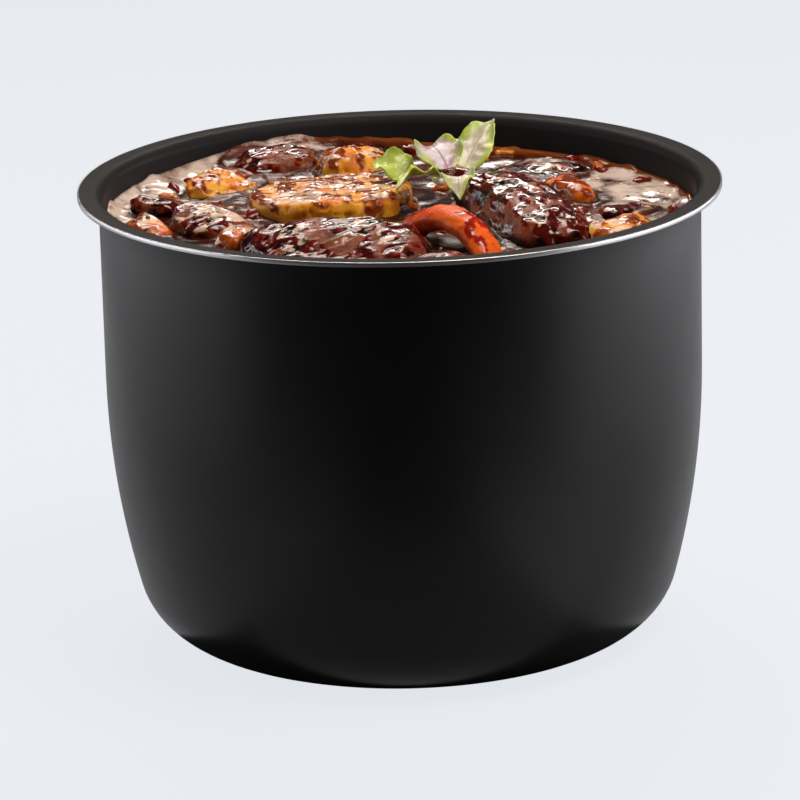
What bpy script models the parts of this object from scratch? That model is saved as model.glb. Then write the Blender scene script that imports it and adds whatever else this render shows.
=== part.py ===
"""Inner pot of a slow cooker, full of beef stew, with a sprig of basil on top.

Metres, +Z up. The origin is the centre of the pot's flat base, on the surface that it stands on, and -Y is
the front. The pot is one deep-drawn sheet. The stew fills it to a little below the rim and lifts out of it
along +Z, and the sprig lies loose on the stew and lifts off it.
"""

import math
import random

import bmesh
import bpy
from mathutils import Vector
from mathutils.bvhtree import BVHTree

# The pot, a drawn sheet: a straight wall, a shallow side arc, a corner arc and a flat base.
POT_HEIGHT = 0.172
POT_DIAMETER = 0.2244  # over the outside of the straight wall
FLANGE_WIDTH = 0.0078  # from the outside of the wall to the cut edge
SHEET = 0.0018
MOUTH_BEND = 0.0042  # radius of the inside of the pot where it turns out into the flange
SIDE_RADIUS = 0.319
SIDE_SWEEP = math.radians(14.5)
CORNER_RADIUS = 0.0284
EDGE_CHAMFER = 0.0002
POT_STEPS = 64

WALL_RADIUS = POT_DIAMETER / 2
INSIDE_RADIUS = WALL_RADIUS - SHEET
FLANGE_RADIUS = WALL_RADIUS + FLANGE_WIDTH
SIDE_TOP = SIDE_RADIUS * math.sin(SIDE_SWEEP) + CORNER_RADIUS * (1 - math.sin(SIDE_SWEEP))

# The stew. Its pieces are laid out for a pot of LAYOUT_RADIUS inside, and spread with the pot.
HEADROOM = 0.0135  # from the rim down to the gravy
FIT_GAP = 0.0004  # between the gravy and the pot
WALL_FILM = 0.0015  # gravy between a piece of food and the pot
POCKET_GAP = 0.0007  # around a piece of food
LAYOUT_RADIUS = 0.1104
HEAP_RISE = 0.0035  # the stew is heaped against the pot at the back left
HEAP_CENTRE = (-0.035, 0.098)
HEAP_SPREAD = 0.032
GRAVY_RINGS = 5
FOOD_REACH = 0.040  # above the rim, more than any piece of food stands

GRAVY_LEVEL = POT_HEIGHT - HEADROOM
SPREAD = INSIDE_RADIUS / LAYOUT_RADIUS

# Pieces of food: name, kind, centre (x, y), size (length, width, depth), bearing of the length, roll about it
# and pitch along it in degrees, rise of the top above the gravy there, and the seed of its shape.
CHUNKS = (
    ("beef_front", "beef", (-0.0250, -0.0670), (0.082, 0.046, 0.034), -5, 8, -2, 0.0130, 3),
    ("beef_right", "beef", (0.0460, -0.0190), (0.088, 0.036, 0.038), -69, -10, 6, 0.0160, 5),
    ("beef_left", "beef", (-0.0715, -0.0150), (0.036, 0.038, 0.028), 15, 8, 6, 0.0100, 8),
    ("beef_back", "beef", (-0.0500, 0.0760), (0.038, 0.032, 0.024), 20, 6, 0, 0.0070, 13),
    ("beef_under", "beef", (0.0160, -0.0810), (0.034, 0.022, 0.018), 6, 0, 8, 0.0060, 21),
    ("beef_far_left", "beef", (-0.0860, 0.0160), (0.032, 0.026, 0.022), 50, 0, 5, 0.0070, 34),
    ("beef_far_right", "beef", (0.0850, 0.0000), (0.036, 0.022, 0.018), 34, 0, 5, 0.0045, 37),
    ("beef_back_right", "beef", (0.0560, 0.0680), (0.042, 0.032, 0.020), -40, 0, 5, 0.0025, 39),
    ("potato_back", "potato", (-0.0180, 0.0700), (0.036, 0.032, 0.028), 20, -10, 8, 0.0100, 55),
    ("potato_left", "potato", (-0.0665, 0.0490), (0.048, 0.026, 0.024), 62, 14, 0, 0.0070, 89),
    ("potato_right", "potato", (0.0855, -0.0390), (0.050, 0.028, 0.024), 56, 8, 6, 0.0085, 17),
    ("carrot_left", "carrot", (-0.0920, -0.0170), (0.034, 0.014, 0.015), -60, 10, 0, 0.0055, 41),
    ("carrot_front", "carrot", (-0.0610, -0.0430), (0.026, 0.014, 0.015), 75, 14, 0, 0.0085, 27),
    ("carrot_right", "carrot", (0.0650, 0.0270), (0.036, 0.015, 0.015), -66, 0, -4, 0.0060, 30),
)
CHUNK_CUTS = {"beef": 9, "potato": 7, "carrot": 5}  # the knife's, across the corners of a block

# The thick round slice of potato in the middle.
SLICE_CENTRE = (-0.0255, 0.0165)
SLICE_WIDTH = 0.063
SLICE_DEPTH = 0.060
SLICE_THICKNESS = 0.014
SLICE_RISE = 0.0094
SLICE_BEVEL = 0.0035
SLICE_TILT = math.radians(-3)

# The strip of red pepper: an arch from end to end, measured above the gravy at its ends.
PEPPER_BACK = (-0.0040, -0.0280)
PEPPER_FRONT = (0.0345, -0.0690)
PEPPER_END_RISE = 0.0015
PEPPER_ARCH = 0.0145
PEPPER_BOW = 0.0040  # sideways, to the right
PEPPER_WIDTH = 0.0160
PEPPER_SHEET = 0.0080
PEPPER_CUP = 0.0045

# The basil. Leaves: name, base and tip from the sprig's centre, width, arch of the rib, cup across it and
# turn about it in degrees.
SPRIG_CENTRE = (0.0170, 0.0060)
LEAF_GAP = 0.0010  # between the lowest leaf and the food
LEAF_SHEET = 0.0009
STEM_RADIUS = 0.0011
LEAVES = (
    ("leaf_tall", (0.0060, 0.0160, -0.0010), (0.0185, 0.0420, 0.0120), 0.0145, 0.003, 0.0030, 20),
    ("leaf_pale", (0.0020, 0.0060, 0.0015), (-0.0070, 0.0240, 0.0040), 0.0180, 0.005, 0.0035, -5),
    ("leaf_green", (-0.0120, 0.0120, -0.0020), (-0.0270, 0.0210, 0.0000), 0.0140, 0.003, 0.0025, -25),
    ("leaf_low", (-0.0020, -0.0020, 0.0010), (-0.0180, -0.0090, -0.0020), 0.0150, 0.003, 0.0025, 15),
    ("leaf_hanging", (0.0060, -0.0080, 0.0020), (0.0050, -0.0260, -0.0020), 0.0120, 0.004, 0.0020, 10),
)
STEM_POINTS = (
    (-0.0010, 0.0150, -0.0030),
    (-0.0040, 0.0080, -0.0020),
    (-0.0040, 0.0010, -0.0015),
    (-0.0010, -0.0060, -0.0010),
)

FINISHES = {
    "coating": ((0.018, 0.018, 0.020), 0.42, 0.0),
    "gravy": ((0.150, 0.035, 0.008), 0.10, 0.0),
    "beef": ((0.110, 0.038, 0.020), 0.30, 0.0),
    "potato": ((0.560, 0.260, 0.050), 0.25, 0.0),
    "carrot": ((0.640, 0.170, 0.020), 0.25, 0.0),
    "pepper": ((0.520, 0.035, 0.010), 0.15, 0.0),
    "leaf": ((0.350, 0.420, 0.090), 0.45, 0.0),
    "stem": ((0.300, 0.340, 0.110), 0.50, 0.0),
}


def clear_scene():
    """Starts from an empty scene."""
    for thing in list(bpy.data.objects):
        bpy.data.objects.remove(thing)


def new_collection(name):
    """A collection in the scene."""
    made = bpy.data.collections.new(name)
    bpy.context.scene.collection.children.link(made)
    return made


def finish(name):
    """The material of this name, from FINISHES."""
    found = bpy.data.materials.get(name)
    if found:
        return found
    colour, roughness, metallic = FINISHES[name]
    made = bpy.data.materials.new(name)
    made.use_nodes = True
    shader = made.node_tree.nodes["Principled BSDF"]
    shader.inputs["Base Color"].default_value = (*colour, 1.0)
    shader.inputs["Roughness"].default_value = roughness
    shader.inputs["Metallic"].default_value = metallic
    return made


def add_piece(name, mesh, material, parent=None):
    """A named piece of the object, holding this mesh."""
    piece = bpy.data.objects.new(name, mesh)
    MODEL.objects.link(piece)
    mesh.materials.clear()
    mesh.materials.append(finish(material))
    piece.parent = parent
    return piece


def mesh_of(shape, name):
    """A mesh from a bmesh, which is freed."""
    bmesh.ops.recalc_face_normals(shape, faces=shape.faces)
    mesh = bpy.data.meshes.new(name)
    shape.to_mesh(mesh)
    shape.free()
    return mesh


def smooth(piece):
    """Rounds a piece with one level of Subdivision Surface, and fixes its triangles."""
    rounding = piece.modifiers.new("rounding", "SUBSURF")
    rounding.levels = 1
    rounding.render_levels = 1
    piece.modifiers.new("triangles", "TRIANGULATE")


def arc(centre, radius, first, last, count):
    """Points in (radius, height) along an arc from the angle first to last, in degrees."""
    points = []
    for i in range(count + 1):
        angle = math.radians(first + (last - first) * i / count)
        points.append((centre[0] + radius * math.cos(angle), centre[1] + radius * math.sin(angle)))
    return points


def side_outline(inset):
    """The pot's side as (radius, height), from the edge of its floor up to where the straight wall begins.

    inset is how far the line lies inside the pot's outer surface.
    """
    sweep = math.degrees(SIDE_SWEEP)
    side_centre = (WALL_RADIUS - SIDE_RADIUS, SIDE_TOP)
    reach = SIDE_RADIUS - CORNER_RADIUS
    corner_centre = (
        side_centre[0] + reach * math.cos(SIDE_SWEEP),
        side_centre[1] - reach * math.sin(SIDE_SWEEP),
    )
    corner = arc(corner_centre, CORNER_RADIUS - inset, -90, -sweep, 5)
    side = arc(side_centre, SIDE_RADIUS - inset, -sweep, 0, 3)
    return corner + side[1:]


def turned_mesh(name, outline, steps):
    """The mesh of an outline of (radius, height) turned about Z, with both its ends on the axis."""
    profile = bpy.data.meshes.new(name + "_outline")
    points = [(radius, 0, height) for radius, height in outline]
    profile.from_pydata(points, [(i, i + 1) for i in range(len(points) - 1)], [])
    blank = bpy.data.objects.new(name + "_blank", profile)
    CUTTERS.objects.link(blank)
    screw = blank.modifiers.new("turn", "SCREW")
    screw.axis = "Z"
    screw.steps = steps
    screw.render_steps = steps
    screw.use_merge_vertices = True
    screw.merge_threshold = 0.00001
    bpy.context.view_layer.update()
    graph = bpy.context.evaluated_depsgraph_get()
    mesh = bpy.data.meshes.new_from_object(blank.evaluated_get(graph))
    bpy.data.objects.remove(blank)
    return mesh


def build_pot():
    """The drawn pot, with the cut edge of its flange."""
    top = POT_HEIGHT
    bend_centre = (INSIDE_RADIUS + MOUTH_BEND, top - MOUTH_BEND)
    inside = [(0, SHEET)] + side_outline(SHEET) + arc(bend_centre, MOUTH_BEND, 180, 90, 4)
    edge = [
        (FLANGE_RADIUS - EDGE_CHAMFER, top),
        (FLANGE_RADIUS, top - EDGE_CHAMFER),
        (FLANGE_RADIUS, top - SHEET + EDGE_CHAMFER),
        (FLANGE_RADIUS - EDGE_CHAMFER, top - SHEET),
    ]
    outside = arc(bend_centre, MOUTH_BEND - SHEET, 90, 180, 3)
    outside += list(reversed(side_outline(0))) + [(0, 0)]
    pot = add_piece("pot", turned_mesh("pot", inside + edge + outside, POT_STEPS), "coating")
    pot.data.shade_smooth()
    pot.data.set_sharp_from_angle(angle=math.radians(40))
    return pot


def heap(x, y):
    """How far the stew stands above its level at a point, where it is heaped against the pot."""
    across = math.hypot(x - HEAP_CENTRE[0] * SPREAD, y - HEAP_CENTRE[1] * SPREAD)
    return HEAP_RISE * math.exp(-((across / (HEAP_SPREAD * SPREAD)) ** 2) / 2)


def surface_at(x, y):
    """The height of the gravy at a point."""
    return GRAVY_LEVEL + heap(x, y)


def build_gravy(parent):
    """The gravy, which fills the pot. Its top rises in the heap."""
    inset = SHEET + FIT_GAP
    radius = WALL_RADIUS - inset
    top = [(radius * i / GRAVY_RINGS, GRAVY_LEVEL) for i in range(GRAVY_RINGS + 1)]
    outline = top + list(reversed(side_outline(inset))) + [(0, inset)]
    mesh = turned_mesh("gravy", outline, POT_STEPS)
    for vertex in mesh.vertices:
        if vertex.co.z > GRAVY_LEVEL - FIT_GAP:
            vertex.co.z += heap(vertex.co.x, vertex.co.y)
    return add_piece("gravy", mesh, "gravy", parent)


def build_food_room():
    """The space that a piece of food may take up, a film of gravy inside the pot."""
    inset = SHEET + FIT_GAP + WALL_FILM
    top = POT_HEIGHT + FOOD_REACH
    outline = [(0, top), (WALL_RADIUS - inset, top)] + list(reversed(side_outline(inset))) + [(0, inset)]
    return add_cutter("food_room", turned_mesh("food_room", outline, POT_STEPS))


def add_cutter(name, mesh):
    """A hidden solid for a Boolean."""
    cutter = bpy.data.objects.new(name, mesh)
    CUTTERS.objects.link(cutter)
    cutter.hide_render = True
    cutter.display_type = "WIRE"
    return cutter


def shown_mesh(piece):
    """A copy of a piece's mesh as it is shown, in world space."""
    bpy.context.view_layer.update()
    graph = bpy.context.evaluated_depsgraph_get()
    mesh = bpy.data.meshes.new_from_object(piece.evaluated_get(graph))
    mesh.transform(piece.matrix_world)
    return mesh


def settle(piece, rise):
    """Moves a piece up or down until its top stands at this rise above the gravy."""
    highest = max(vertex.co.z for vertex in shown_mesh(piece).vertices)
    piece.location.z += surface_at(piece.location.x, piece.location.y) + rise - highest


def build_chunk(name, kind, centre, size, bearing, roll, pitch, rise, seed, parent):
    """A chunk of food, cut from a block by a few flat cuts across its corners and then rounded."""
    draw = random.Random(seed)
    shape = bmesh.new()
    bmesh.ops.create_cube(shape, size=1)
    for _ in range(CHUNK_CUTS[kind]):
        across = Vector([draw.gauss(0, 1) for _ in range(3)]).normalized()
        depth = 0.5 * sum(abs(c) for c in across) * draw.uniform(0.74, 0.9)
        everything = shape.verts[:] + shape.edges[:] + shape.faces[:]
        made = bmesh.ops.bisect_plane(
            shape, geom=everything, plane_co=across * depth, plane_no=across, clear_outer=True
        )
        rim = [part for part in made["geom_cut"] if isinstance(part, bmesh.types.BMEdge)]
        if rim:
            bmesh.ops.contextual_create(shape, geom=rim)
    for vertex in shape.verts:
        vertex.co = [c * s * SPREAD for c, s in zip(vertex.co, size)]
    chunk = add_piece(name, mesh_of(shape, name), kind, parent)
    smooth(chunk)
    chunk.rotation_euler = [math.radians(angle) for angle in (roll, pitch, bearing)]
    chunk.location = (centre[0] * SPREAD, centre[1] * SPREAD, GRAVY_LEVEL)
    settle(chunk, rise)
    return chunk


def build_slice(parent):
    """The round slice of potato."""
    shape = bmesh.new()
    bmesh.ops.create_cone(shape, cap_ends=True, segments=20, radius1=0.47, radius2=0.5, depth=1)
    for vertex in shape.verts:
        vertex.co = [c * s * SPREAD for c, s in zip(vertex.co, (SLICE_WIDTH, SLICE_DEPTH, SLICE_THICKNESS))]
    piece = add_piece("potato_slice", mesh_of(shape, "potato_slice"), "potato", parent)
    bevel = piece.modifiers.new("edges", "BEVEL")
    bevel.width = SLICE_BEVEL * SPREAD
    bevel.segments = 2
    bevel.limit_method = "ANGLE"
    bevel.angle_limit = math.radians(40)
    piece.rotation_euler = (SLICE_TILT, SLICE_TILT, 0)
    piece.location = (SLICE_CENTRE[0] * SPREAD, SLICE_CENTRE[1] * SPREAD, GRAVY_LEVEL)
    settle(piece, SLICE_RISE)
    return piece


def build_pepper(parent):
    """The strip of red pepper, an arched and cupped sheet."""
    back = Vector((*PEPPER_BACK, 0)) * SPREAD
    along = Vector((*PEPPER_FRONT, 0)) * SPREAD - back
    side = Vector((-along.y, along.x, 0)).normalized()
    shape = bmesh.new()
    bmesh.ops.create_grid(shape, x_segments=7, y_segments=3, size=1)
    for vertex in shape.verts:
        run, across = vertex.co.x, vertex.co.y
        bulge = 1 - run * run
        point = back + along * (run + 1) / 2
        point += side * (PEPPER_BOW * bulge + PEPPER_WIDTH / 2 * across) * SPREAD
        rise = PEPPER_END_RISE + PEPPER_ARCH * bulge - PEPPER_CUP * across * across
        point.z = surface_at(point.x, point.y) + rise * SPREAD
        vertex.co = point
    mesh = mesh_of(shape, "pepper")
    piece = add_piece("pepper", mesh, "pepper", parent)
    shell = piece.modifiers.new("flesh", "SOLIDIFY")
    shell.thickness = PEPPER_SHEET * SPREAD
    shell.offset = -1 if mesh.polygons[0].normal.z > 0 else 1
    smooth(piece)
    return piece


def build_leaf(name, base, tip, width, rib_arch, cup, turn, parent):
    """A pointed leaf: a thin sheet, cupped across its rib, whose rib arches from base to tip."""
    start, end = Vector(base) * SPREAD, Vector(tip) * SPREAD
    rib = end - start
    level_side = Vector((-rib.y, rib.x, 0)).normalized()
    up = rib.normalized().cross(level_side)
    up = up if up.z > 0 else -up
    lean = math.radians(turn)
    side = level_side * math.cos(lean) + up * math.sin(lean)
    lift = up * math.cos(lean) - level_side * math.sin(lean)
    shape = bmesh.new()
    bmesh.ops.create_grid(shape, x_segments=6, y_segments=4, size=1)
    for vertex in shape.verts:
        run, across = (vertex.co.x + 1) / 2, vertex.co.y
        half = width / 2 * (0.06 + 2.65 * run**0.60 * (1 - run) ** 0.95) * SPREAD
        rise = (rib_arch + cup * across * across) * math.sin(math.pi * run) * SPREAD
        vertex.co = start + rib * run + side * half * across + lift * rise
    leaf = add_piece(name, mesh_of(shape, name), "leaf", parent)
    shell = leaf.modifiers.new("blade", "SOLIDIFY")
    shell.thickness = LEAF_SHEET
    shell.offset = 0
    return leaf


def build_stem(parent):
    """The sprig's stem, a round wire along a few points."""
    line = bpy.data.curves.new("stem", "CURVE")
    line.dimensions = "3D"
    line.bevel_depth = STEM_RADIUS
    line.bevel_resolution = 2
    line.use_fill_caps = True
    spline = line.splines.new("POLY")
    spline.points.add(len(STEM_POINTS) - 1)
    for point, place in zip(spline.points, STEM_POINTS):
        point.co = (*(c * SPREAD for c in place), 1)
    line.materials.append(finish("stem"))
    stem = bpy.data.objects.new("stem", line)
    MODEL.objects.link(stem)
    stem.parent = parent
    return stem


def pocket(piece):
    """A cutter for the room around a piece: its shape, grown by the pocket's gap."""
    mesh = shown_mesh(piece)
    shape = bmesh.new()
    shape.from_mesh(mesh)
    growth = [vertex.normal * vertex.calc_shell_factor() * POCKET_GAP for vertex in shape.verts]
    for vertex, step in zip(shape.verts, growth):
        vertex.co += step
    shape.to_mesh(mesh)
    shape.free()
    return add_cutter(piece.name + "_pocket", mesh)


def cut(piece, cutter, operation="DIFFERENCE"):
    """Cuts a piece with a hidden solid."""
    boolean = piece.modifiers.new(cutter.name, "BOOLEAN")
    boolean.operation = operation
    boolean.object = cutter


def meets(piece, cutter):
    """Whether two solids share any space."""
    first, second = (BVHTree.FromPolygons(*polygons(mesh)) for mesh in (shown_mesh(piece), cutter.data))
    return bool(first.overlap(second))


def polygons(mesh):
    """A mesh's points and faces, as a BVHTree takes them."""
    return [vertex.co for vertex in mesh.vertices], [list(face.vertices) for face in mesh.polygons]


def build_stew(stew):
    """The gravy and the food in it, which lift out together. Each piece gives way to those before it."""
    gravy = build_gravy(stew)
    room = build_food_room()
    pieces = [build_slice(stew)] + [build_chunk(*row, stew) for row in CHUNKS] + [build_pepper(stew)]
    pockets = []
    for piece in pieces:
        if meets(piece, room):
            cut(piece, room, "INTERSECT")
        own = pocket(piece)
        for taken in pockets:
            if meets(piece, taken):
                cut(piece, taken)
        pockets.append(own)
        cut(gravy, own)
    return pieces


def drop_onto(sprig, leaves, pieces):
    """Lowers the sprig until its lowest leaf lies just clear of the food under it."""
    bpy.context.view_layer.update()
    food = [BVHTree.FromPolygons(*polygons(shown_mesh(piece))) for piece in pieces]
    room_below = []
    for leaf in leaves:
        mesh = shown_mesh(leaf)
        blade = BVHTree.FromPolygons(*polygons(mesh))
        for vertex in mesh.vertices:
            hits = [tree.ray_cast(vertex.co, (0, 0, -1))[3] for tree in food]
            room_below += [distance for distance in hits if distance is not None]
        for piece in pieces:
            hits = [blade.ray_cast(vertex.co, (0, 0, 1))[3] for vertex in shown_mesh(piece).vertices]
            room_below += [distance for distance in hits if distance is not None]
    sprig.location.z -= min(room_below) - LEAF_GAP


def add_empty(name, place, parent=None):
    """A parent for the pieces that move together."""
    empty = bpy.data.objects.new(name, None)
    empty.location = place
    empty.parent = parent
    MODEL.objects.link(empty)
    return empty


def build_sprig(stew, pieces):
    """The basil, which lies on the stew."""
    x, y = (c * SPREAD for c in SPRIG_CENTRE)
    sprig = add_empty("sprig_lift", (x, y, POT_HEIGHT + FOOD_REACH), stew)
    leaves = [build_leaf(*row, sprig) for row in LEAVES]
    leaves.append(build_stem(sprig))
    drop_onto(sprig, leaves, pieces)


clear_scene()
MODEL = new_collection("slow_cooker_pot")
CUTTERS = new_collection("cutters")
build_pot()
STEW = add_empty("stew_lift", (0, 0, 0))
build_sprig(STEW, build_stew(STEW))
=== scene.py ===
"""The looks of a slow cooker's inner pot that is full of beef stew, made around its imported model.

Metres, +Z up, -Y to the front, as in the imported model. The pot is turned, the pieces of food grow from their
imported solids, the gravy is poured round them, and the basil is shaped leaf by leaf.
"""

import math
from itertools import product

import bmesh
import bpy
import numpy as np
from mathutils import Matrix, Vector


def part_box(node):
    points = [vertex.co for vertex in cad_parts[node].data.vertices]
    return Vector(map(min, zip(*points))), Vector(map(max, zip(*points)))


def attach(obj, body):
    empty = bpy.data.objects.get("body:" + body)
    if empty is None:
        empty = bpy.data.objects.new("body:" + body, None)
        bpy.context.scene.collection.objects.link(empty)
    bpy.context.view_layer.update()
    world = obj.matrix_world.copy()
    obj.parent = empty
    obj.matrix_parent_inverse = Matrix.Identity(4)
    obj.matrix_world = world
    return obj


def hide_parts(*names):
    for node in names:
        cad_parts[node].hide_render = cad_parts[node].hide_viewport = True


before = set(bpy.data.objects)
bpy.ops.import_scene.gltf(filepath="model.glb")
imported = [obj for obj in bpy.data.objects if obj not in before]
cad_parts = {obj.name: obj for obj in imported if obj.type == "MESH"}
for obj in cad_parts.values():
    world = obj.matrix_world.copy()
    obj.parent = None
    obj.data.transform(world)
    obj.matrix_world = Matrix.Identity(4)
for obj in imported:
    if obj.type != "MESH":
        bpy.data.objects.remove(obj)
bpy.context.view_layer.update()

# The pot: the sheet it is drawn from, its flange and its bends.
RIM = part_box("pot")[1].z
FLANGE_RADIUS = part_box("pot")[1].x
FLANGE_WIDTH = 0.0078
SHEET = 0.0018
MOUTH_BEND = 0.0042
SIDE_RADIUS = 0.319
SIDE_SWEEP = math.radians(14.5)
CORNER_RADIUS = 0.0284
WALL_RADIUS = FLANGE_RADIUS - FLANGE_WIDTH
INSIDE_RADIUS = WALL_RADIUS - SHEET
SIDE_TOP = SIDE_RADIUS * math.sin(SIDE_SWEEP) + CORNER_RADIUS * (1 - math.sin(SIDE_SWEEP))

# The gravy, and the gap that keeps it off the pot.
HEADROOM = 0.0135
GRAVY_LEVEL = RIM - HEADROOM
GRAVY_GAP = 0.0004
GRAVY_RADIUS = INSIDE_RADIUS - GRAVY_GAP


# ---------------------------------------------------------------- chance


GRADIENTS = np.random.default_rng(11).normal(size=(256, 3))
GRADIENTS /= np.linalg.norm(GRADIENTS, axis=1, keepdims=True)


def scatter(cells, seed):
    """A whole number from 0 to 255 for each whole-number point, the same every time."""
    x, y, z = (cells[..., i].astype(np.int64) for i in range(3))
    mixed = x * 73856093 ^ y * 19349663 ^ z * 83492791 ^ (seed + 1) * 40503
    mixed = (mixed ^ (mixed >> 13)) * 1274126177
    return (mixed ^ (mixed >> 16)) & 255


def swell(points, size, seed=0):
    """Smooth noise from about -1 to 1, whose bumps are about this size."""
    scaled = points / size
    corner = np.floor(scaled)
    part = scaled - corner
    fade = part**3 * (part * (part * 6 - 15) + 10)
    total = np.zeros(len(points))
    for step in product((0, 1), repeat=3):
        step = np.array(step)
        slope = GRADIENTS[scatter(corner + step, seed)]
        weight = np.prod(np.where(step == 1, fade, 1 - fade), axis=1)
        total += weight * ((part - step) * slope).sum(axis=1)
    return total * 1.5  # the plain sum stays within about 0.67


def layered(points, size, layers, seed=0, falloff=0.5):
    """Noise of several sizes, each half the last, and weaker than it by the falloff."""
    total, strength = np.zeros(len(points)), 1.0
    for i in range(layers):
        total += strength * swell(points, size / 2**i, seed + 17 * i)
        strength *= falloff
    return total


def step_up(values, low, high):
    """0 below low, 1 above high and a smooth rise between."""
    t = np.clip((values - low) / (high - low), 0, 1)
    return t * t * (3 - 2 * t)


# ---------------------------------------------------------------- pieces

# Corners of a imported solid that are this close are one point.
SAME_POINT = 0.00001


def add_piece(name, mesh, body, nodes=()):
    """A smooth piece of the object that rides on a body and stands for some CAD nodes."""
    piece = bpy.data.objects.new(name, mesh)
    bpy.context.scene.collection.objects.link(piece)
    mesh.shade_smooth()
    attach(piece, body)
    if nodes:
        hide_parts(*nodes)
    return piece


def mesh_from(name, points, faces, materials, marks=None, face_material=None):
    """A mesh with these materials, and with a number on each point for every mark."""
    mesh = bpy.data.meshes.new(name)
    faces = faces.tolist() if isinstance(faces, np.ndarray) else faces
    mesh.from_pydata(np.asarray(points).tolist(), [], faces)
    for material in materials:
        mesh.materials.append(material)
    for key, values in (marks or {}).items():
        layer = mesh.attributes.new(key, "FLOAT", "POINT")
        layer.data.foreach_set("value", np.asarray(values, np.float32))
    if face_material is not None:
        mesh.polygons.foreach_set("material_index", np.asarray(face_material, np.int32))
    mesh.update()
    return mesh


def points_of(mesh, what="co"):
    """The mesh's points, or their normals."""
    values = np.empty(len(mesh.vertices) * 3, np.float32)
    mesh.vertices.foreach_get(what, values)
    return values.reshape(-1, 3).astype(float)


def faces_of_quads(mesh):
    """The faces of a mesh that has only quads, quickly."""
    corners = np.empty(len(mesh.loops), np.int32)
    mesh.loops.foreach_get("vertex_index", corners)
    return corners.reshape(-1, 4)


def even_skin(node, voxel, rounds):
    """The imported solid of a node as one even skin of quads, smoothed this many rounds to round its corners."""
    shape = bmesh.new()
    shape.from_mesh(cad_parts[node].data)
    bmesh.ops.remove_doubles(shape, verts=shape.verts, dist=SAME_POINT)
    mesh = bpy.data.meshes.new(node + "_blank")
    shape.to_mesh(mesh)
    shape.free()
    blank = bpy.data.objects.new(node + "_blank", mesh)
    bpy.context.scene.collection.objects.link(blank)
    remesh = blank.modifiers.new("skin", "REMESH")
    remesh.mode = "VOXEL"
    remesh.voxel_size = voxel
    soften = blank.modifiers.new("soften", "SMOOTH")
    soften.iterations = rounds
    soften.factor = 0.5
    bpy.context.view_layer.update()
    graph = bpy.context.evaluated_depsgraph_get()
    skin = bpy.data.meshes.new_from_object(blank.evaluated_get(graph))
    bpy.data.objects.remove(blank)
    return skin


# ---------------------------------------------------------------- finishes


def new_material(name):
    """A material with a Principled BSDF, which is given back with its node tree."""
    made = bpy.data.materials.new(name)
    made.use_nodes = True
    tree = made.node_tree
    return made, tree, tree.nodes["Principled BSDF"]


def node(tree, kind, **values):
    """A node of a tree. A value that is named for an input socket, with _ for a space, goes on that socket."""
    made = tree.nodes.new("ShaderNode" + kind)
    for name, value in values.items():
        socket = made.inputs.get(name.replace("_", " "))
        if socket is not None and not hasattr(made, name):
            socket.default_value = value
        else:
            setattr(made, name, value)
    return made


def mark(tree, name):
    """The number that each point carries under this name."""
    return node(tree, "Attribute", attribute_name=name).outputs["Fac"]


def noise(tree, scale, detail, roughness, stretch=None):
    """Noise over the piece's own space."""
    made = node(tree, "TexNoise", Scale=scale, Detail=detail, Roughness=roughness)
    lay(tree, made, stretch)
    return made.outputs["Fac"]


def lay(tree, texture, stretch=None):
    """Lays a texture in the piece's own space, stretched along some axes if asked."""
    where = node(tree, "TexCoord").outputs["Object"]
    if stretch is not None:
        mapping = node(tree, "Mapping")
        mapping.inputs["Scale"].default_value = stretch
        tree.links.new(where, mapping.inputs["Vector"])
        where = mapping.outputs["Vector"]
    tree.links.new(where, texture.inputs["Vector"])


def ramp(tree, value, low, high, to_low=0.0, to_high=1.0):
    """Carries a value from the range low to high over to another range, held at the ends."""
    made = node(tree, "MapRange")
    made.clamp = True
    tree.links.new(value, made.inputs["Value"])
    ends = (low, high, to_low, to_high)
    for socket, end in zip(("From Min", "From Max", "To Min", "To Max"), ends):
        made.inputs[socket].default_value = end
    return made.outputs["Result"]


def blend(tree, amount, first, second):
    """A colour from first to second by amount. Each is a colour or a socket."""
    made = node(tree, "Mix", data_type="RGBA")
    tree.links.new(amount, made.inputs["Factor"])
    for socket, colour in zip((made.inputs[6], made.inputs[7]), (first, second)):
        if isinstance(colour, tuple):
            socket.default_value = (*colour, 1)
        else:
            tree.links.new(colour, socket)
    return made.outputs[2]


def combine(tree, operation, first, second):
    """A sum, product or other step on two values, each a number or a socket."""
    made = node(tree, "Math", operation=operation)
    for socket, value in zip(made.inputs, (first, second)):
        if isinstance(value, (int, float)):
            socket.default_value = value
        else:
            tree.links.new(value, socket)
    return made.outputs[0]


def bump(tree, shader, height, strength, distance):
    """Raises a material's surface by a height map."""
    made = node(tree, "Bump")
    made.inputs["Strength"].default_value = strength
    made.inputs["Distance"].default_value = distance
    tree.links.new(height, made.inputs["Height"])
    tree.links.new(made.outputs["Normal"], shader.inputs["Normal"])


def settings(shader, **values):
    """Plain numbers and colours on a shader's own sockets, with _ for a space."""
    for name, value in values.items():
        shader.inputs[name.replace("_", " ")].default_value = value


SAUCE_THIN = (0.420, 0.090, 0.012)
# The pale colour of the painted sheen on the food's upper faces and on the gravy.
PAINTED_SHEEN_COLOUR = (0.740, 0.560, 0.420)


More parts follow.
